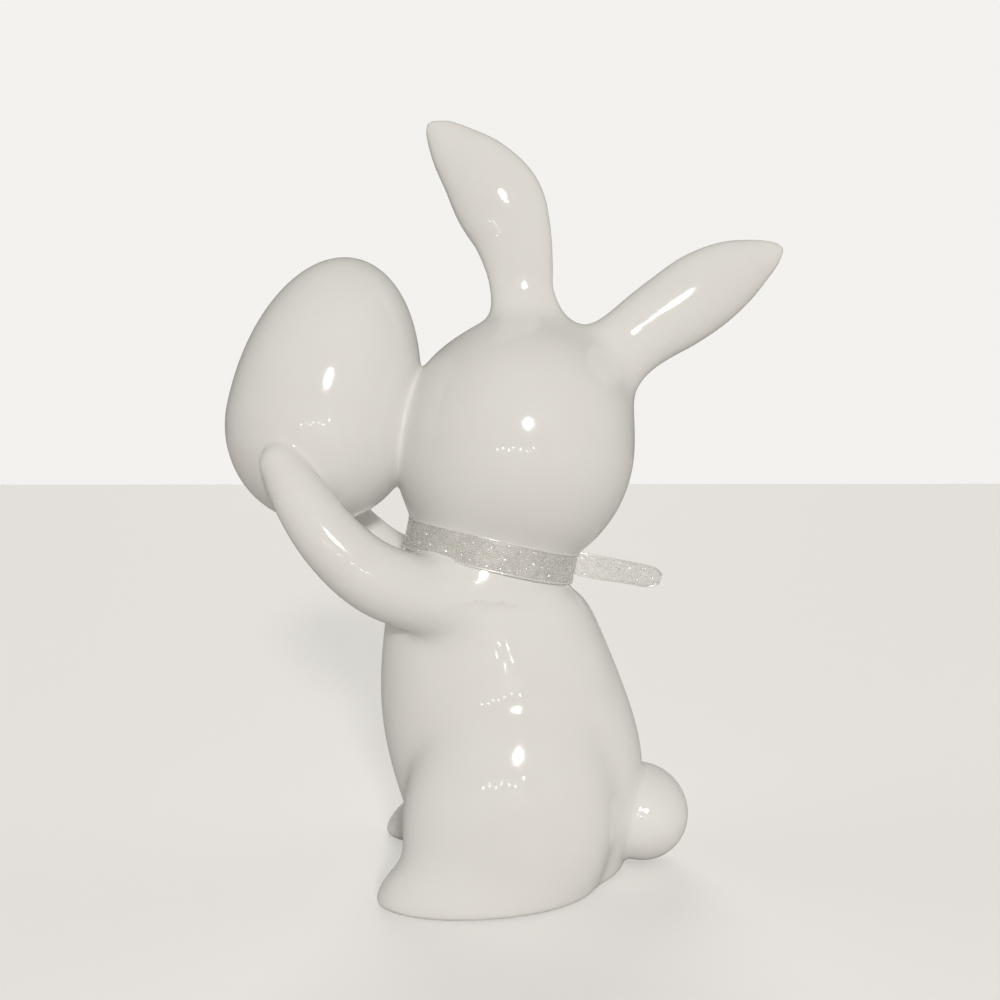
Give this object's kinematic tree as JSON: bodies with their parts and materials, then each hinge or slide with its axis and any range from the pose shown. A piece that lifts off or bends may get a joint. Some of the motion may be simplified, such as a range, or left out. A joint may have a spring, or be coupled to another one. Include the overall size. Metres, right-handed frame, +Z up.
{
  "type": "ceramic rabbit figurine",
  "caption": "Glazed ceramic rabbit that stands upright and hugs a large egg, with long ears, a ball tail and a sheer ribbon tied round its neck.",
  "frame": {"origin": "middle of the flat base, on the surface that the figurine stands on", "axes": "+Z up, the rabbit faces -Y, its left side is +X"},
  "size_m": [0.0924, 0.1852, 0.2473],
  "materials": {
    "glazed_body": "glossy white glaze on the torso casting",
    "glazed_head": "glossy white glaze on the head and ear castings",
    "glazed_egg": "glossy white glaze on the egg casting",
    "glazed_limbs": "glossy white glaze on the arm, leg and tail castings",
    "sheer_ribbon": "sheer silver organza ribbon with fine glitter and bright woven edges"
  },
  "bodies": {
    "figurine": {"torso_shell": "glazed_body", "head_shell": "glazed_head", "egg_shell": "glazed_egg", "forward_ear": "glazed_head", "rear_ear": "glazed_head", "left_arm": "glazed_limbs", "right_arm": "glazed_limbs", "left_leg": "glazed_limbs", "right_leg": "glazed_limbs", "bob_tail": "glazed_limbs"},
    "ribbon": {"ribbon_band": "sheer_ribbon", "ribbon_knot": "sheer_ribbon", "ribbon_tail_back": "sheer_ribbon", "ribbon_tail_side": "sheer_ribbon"}
  },
  "joints": [
    {"name": "ribbon_turn", "type": "hinge", "parent": "figurine", "child": "ribbon", "pos_m": [0, -0.0031, 0.1068], "axis": [0, 0.2215, 0.9751], "range_deg": [-60, 50]}
  ]
}
